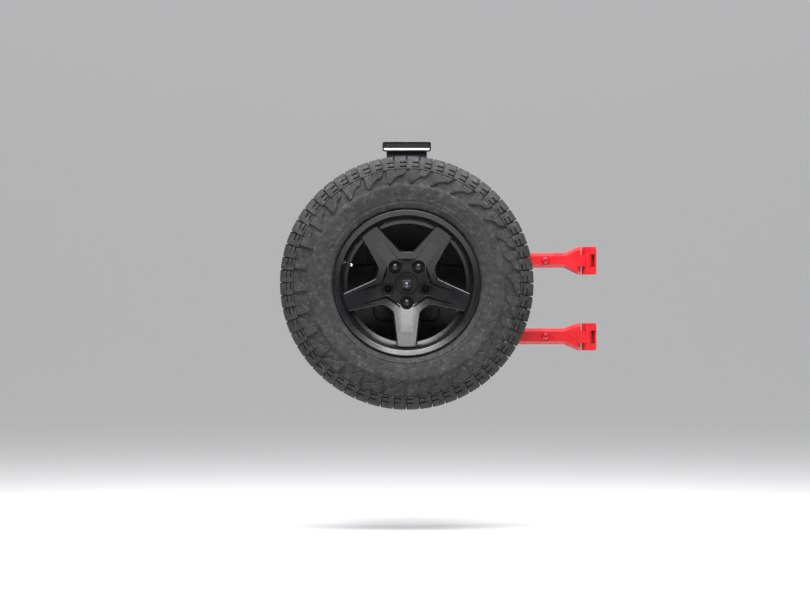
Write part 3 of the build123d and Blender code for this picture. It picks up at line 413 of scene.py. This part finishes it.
# ---- materials ----------------------------------------------------------------------------
class Surface:
    """A procedural material under construction; coordinates are the part's own, in metres."""

    def __init__(self, name, color, roughness, **sockets):
        self.material = bpy.data.materials.new(name)
        self.material.use_nodes = True
        self.tree = self.material.node_tree
        self.shader = self.tree.nodes["Principled BSDF"]
        self.shader.inputs["Base Color"].default_value = (*color, 1)
        self.shader.inputs["Roughness"].default_value = roughness
        for socket, value in sockets.items():
            self.shader.inputs[socket.replace("_", " ")].default_value = value
        self.place = self.tree.nodes.new("ShaderNodeTexCoord").outputs["Object"]
        self.color = color
        self.normal = None

    def node(self, kind, **settings):
        node = self.tree.nodes.new("ShaderNode" + kind)
        for key, value in settings.items():
            setattr(node, key, value)
        return node

    def link(self, output, target):
        self.tree.links.new(output, target)

    def noise(self, scale, detail=4.0, rough=0.55, stretch=None):
        """Noise of that many features per metre; stretch scales the three axes."""
        node = self.node("TexNoise")
        node.inputs["Scale"].default_value = scale
        node.inputs["Detail"].default_value = detail
        node.inputs["Roughness"].default_value = rough
        place = self.place
        if stretch:
            mapping = self.node("Mapping")
            mapping.inputs["Scale"].default_value = stretch
            self.link(place, mapping.inputs["Vector"])
            place = mapping.outputs["Vector"]
        self.link(place, node.inputs["Vector"])
        return node.outputs["Fac"]

    def cells(self, scale, feature="F1"):
        node = self.node("TexVoronoi", feature=feature)
        node.inputs["Scale"].default_value = scale
        self.link(self.place, node.inputs["Vector"])
        return node.outputs["Distance"]

    def ramp(self, value, low, high, start=0.0, end=1.0):
        """Maps value from low..high to start..end."""
        node = self.node("MapRange")
        for socket, number in (
            ("From Min", low), ("From Max", high), ("To Min", start), ("To Max", end)
        ):
            node.inputs[socket].default_value = number
        self.link(value, node.inputs["Value"])
        return node.outputs["Result"]

    def tint(self, amount, color):
        """Lays color over what the base colour is so far, by that amount."""
        mix = self.node("Mix", data_type="RGBA")
        base = self.shader.inputs["Base Color"]
        if base.links:
            self.link(base.links[0].from_socket, mix.inputs[6])
        else:
            mix.inputs[6].default_value = (*self.color, 1)
        mix.inputs[7].default_value = (*color, 1)
        self.link(amount, mix.inputs[0])
        self.link(mix.outputs[2], base)

    def vary_roughness(self, value, low, high):
        self.link(self.ramp(value, 0.3, 0.7, low, high), self.shader.inputs["Roughness"])

    def bump(self, height, depth, strength=1.0):
        """depth is the height of the relief in metres."""
        node = self.node("Bump")
        node.inputs["Strength"].default_value = strength
        node.inputs["Distance"].default_value = depth
        self.link(height, node.inputs["Height"])
        if self.normal:
            self.link(self.normal, node.inputs["Normal"])
        self.normal = node.outputs["Normal"]
        self.link(self.normal, self.shader.inputs["Normal"])


def tyre_rubber():
    """Dark rubber with dust rubbed into it, in soft clouds, mottle and scuffs."""
    s = Surface("tyre_rubber", (0.016, 0.016, 0.017), 0.82, Specular_IOR_Level=0.4)
    cloud = s.noise(7, 6, 0.62)
    s.tint(s.ramp(cloud, 0.42, 0.68, 0.0, 0.75), (0.032, 0.031, 0.030))
    stain = s.noise(28, 5, 0.6)
    s.tint(s.ramp(stain, 0.50, 0.72, 0.0, 0.55), (0.044, 0.043, 0.041))
    streak = s.noise(60, 3, 0.5, (1.0, 6.0, 1.0))
    s.tint(s.ramp(streak, 0.56, 0.75, 0.0, 0.4), (0.016, 0.016, 0.017))
    mottle = s.noise(58, 6, 0.68)
    s.tint(s.ramp(mottle, 0.54, 0.70, 0.0, 0.6), (0.080, 0.078, 0.075))
    s.tint(s.ramp(mottle, 0.47, 0.36, 0.0, 0.8), (0.008, 0.008, 0.009))
    scuff = s.noise(48, 4, 0.7, (1.0, 1.0, 2.5))
    s.tint(s.ramp(scuff, 0.62, 0.72, 0.0, 0.5), (0.14, 0.137, 0.132))
    s.vary_roughness(stain, 0.70, 0.95)
    s.bump(mottle, 0.0024, 0.7)
    s.bump(s.noise(1400, 3, 0.6), 0.0002, 0.5)
    return s.material


def satin_black(name, color, roughness, grain=0.00003):
    """Powder coat: even, with a faint orange peel, dust specks and dull patches."""
    s = Surface(name, color, roughness, Coat_Weight=0.12, Coat_Roughness=0.3)
    cloud = s.noise(14, 5, 0.6)
    s.tint(s.ramp(cloud, 0.45, 0.75, 0.0, 0.35), tuple(1.8 * c + 0.001 for c in color))
    s.tint(s.ramp(s.noise(700, 2, 0.7), 0.68, 0.78, 0.0, 0.5), (0.16, 0.155, 0.15))
    s.vary_roughness(cloud, roughness - 0.05, roughness + 0.09)
    s.bump(s.noise(900, 2, 0.5), grain, 0.6)
    return s.material


def cast_black(name):
    s = Surface(name, (0.022, 0.022, 0.023), 0.6)
    s.tint(s.ramp(s.noise(25, 5, 0.6), 0.45, 0.8, 0.0, 0.6), (0.05, 0.05, 0.05))
    s.vary_roughness(s.noise(40, 4), 0.5, 0.72)
    s.bump(s.noise(420, 4, 0.7), 0.0005, 0.7)
    return s.material


def red_paint(name):
    """Solid red under clear coat, with orange peel and a little road dust."""
    s = Surface(
        name, (0.52, 0.004, 0.010), 0.32, Coat_Weight=1.0, Coat_Roughness=0.04, Coat_IOR=1.5
    )
    s.tint(s.ramp(s.noise(9, 5, 0.6), 0.4, 0.8, 0.0, 0.5), (0.42, 0.003, 0.008))
    s.tint(s.ramp(s.noise(600, 2, 0.7), 0.70, 0.80, 0.0, 0.4), (0.75, 0.20, 0.18))
    s.vary_roughness(s.noise(30, 4), 0.26, 0.4)
    s.bump(s.noise(260, 2, 0.4), 0.00004, 0.5)
    return s.material


def metal(name, color, roughness, brushed=(1, 1, 1), metallic=1.0):
    """Plated or turned metal, with fine marks drawn out across the brushed axis."""
    s = Surface(name, color, roughness, Metallic=metallic)
    marks = s.noise(350, 4, 0.6, brushed)
    s.tint(s.ramp(marks, 0.45, 0.8, 0.0, 0.5), tuple(0.6 * c for c in color))
    s.tint(s.ramp(s.noise(60, 5, 0.6), 0.55, 0.8, 0.0, 0.4), tuple(0.75 * c + 0.02 for c in color))
    s.vary_roughness(marks, roughness - 0.07, roughness + 0.12)
    s.bump(marks, 0.00005, 0.5)
    return s.material


def plastic(name, color, roughness, grain_scale, grain_depth, coat=0.0):
    """Moulded plastic or rubber with a spark-eroded grain."""
    s = Surface(name, color, roughness, Coat_Weight=coat, Coat_Roughness=0.06)
    s.tint(s.ramp(s.noise(35, 5, 0.6), 0.45, 0.8, 0.0, 0.5), tuple(1.6 * c + 0.004 for c in color))
    s.vary_roughness(s.noise(80, 4), roughness - 0.05, roughness + 0.08)
    s.bump(s.cells(grain_scale), grain_depth, 0.6)
    return s.material


def lens_glass(name):
    """Coated front element over a dark barrel."""
    s = Surface(
        name,
        (0.012, 0.014, 0.030),
        0.04,
        Coat_Weight=1.0,
        Coat_Roughness=0.01,
        Specular_IOR_Level=0.9,
    )
    s.tint(s.ramp(s.noise(90, 3), 0.4, 0.7, 0.0, 0.5), (0.05, 0.02, 0.07))
    s.vary_roughness(s.noise(300, 3), 0.02, 0.07)
    return s.material


def smoked_lens(name):
    """Smoked cover over the lamps, with vertical flutes behind it."""
    s = Surface(name, (0.014, 0.014, 0.015), 0.12, Coat_Weight=1.0, Coat_Roughness=0.03)
    wave = s.node("TexWave", bands_direction="X", wave_profile="SIN")
    wave.inputs["Scale"].default_value = 40
    s.link(s.place, wave.inputs["Vector"])
    s.tint(s.ramp(wave.outputs["Fac"], 0.3, 1.0, 0.0, 0.7), (0.034, 0.033, 0.034))
    s.vary_roughness(s.noise(200, 3), 0.08, 0.18)
    s.bump(wave.outputs["Fac"], 0.0004, 0.5)
    return s.material


def clear_strip(name):
    """Clear prismatic strip over a white reflector, with a faint painted glow in place of its
    highlight.
    """
    s = Surface(name, (0.86, 0.87, 0.88), 0.14, Coat_Weight=1.0, Coat_Roughness=0.03)
    wave = s.node("TexWave", bands_direction="X", wave_profile="TRI")
    wave.inputs["Scale"].default_value = 80
    s.link(s.place, wave.inputs["Vector"])
    s.tint(s.ramp(wave.outputs["Fac"], 0.0, 1.0, 0.0, 0.5), (0.70, 0.72, 0.74))
    s.bump(wave.outputs["Fac"], 0.0003, 0.5)
    # Painted light: the emission makes the unlit strip glow faintly, standing in for its highlight;
    # the strip is no lamp.
    s.shader.inputs["Emission Color"].default_value = (1, 1, 1, 1)
    s.shader.inputs["Emission Strength"].default_value = 0.12
    return s.material


def paint_nodes():
    """Every carried-over CAD node gets the material of its slot."""
    by_slot = {
        "wheel_black": satin_black("wheel_satin_black", (0.005, 0.005, 0.0055), 0.24),
        "bracket_black": satin_black("bracket_e_coat", (0.009, 0.009, 0.010), 0.46, 0.00008),
        "tower_black": cast_black("tower_cast_black"),
        "body_red": red_paint("body_red_clear_coat"),
        "bolt_black": metal("bolt_black_zinc", (0.055, 0.055, 0.058), 0.42),
        "nut_dark": metal("nut_dark_plating", (0.05, 0.05, 0.053), 0.36),
        "steel": metal("zinc_plated_steel", (0.58, 0.58, 0.60), 0.32, (1, 8, 1)),
        "brass": metal("turned_brass", (0.72, 0.52, 0.24), 0.28, (1, 1, 8)),
        "cap_metal": metal("polished_cap", (0.86, 0.86, 0.87), 0.14, (1, 8, 1)),
        "rubber": plastic("moulded_rubber", (0.022, 0.022, 0.023), 0.72, 900, 0.00012),
        "bush_nylon": plastic("natural_nylon", (0.70, 0.67, 0.58), 0.42, 700, 0.00005),
        "cover_plastic": plastic("grained_cover", (0.018, 0.018, 0.019), 0.50, 800, 0.0002),
        "camera_plastic": plastic("camera_moulding", (0.007, 0.007, 0.008), 0.40, 1500, 0.00006),
        "bezel_gloss": plastic(
            "camera_bezel_gloss", (0.012, 0.012, 0.013), 0.18, 1800, 0.00002, 0.6
        ),
        "camera_glass": lens_glass("camera_front_glass"),
        "light_black": plastic(
            "light_gloss_black", (0.010, 0.010, 0.011), 0.20, 1200, 0.00003, 0.8
        ),
        "smoked_lens": smoked_lens("brake_light_smoked"),
        "clear_strip": clear_strip("brake_light_clear_painted_glow"),
        "board_green": plastic("board_solder_mask", (0.01, 0.14, 0.05), 0.35, 500, 0.00005, 0.4),
        "led": plastic("led_resin", (0.82, 0.74, 0.55), 0.15, 1500, 0.00003, 0.6),
    }
    slots = {part["node"]: part["material_slot"] for part in frame["record"]["subparts"]}
    for name, node in frame["nodes"].items():
        if name != "tyre":
            node.data.materials.clear()
            node.data.materials.append(by_slot[slots[name]])


# ---- the scene ----------------------------------------------------------------------------
add_studio()
add_tyre(tyre_rubber())
paint_nodes()
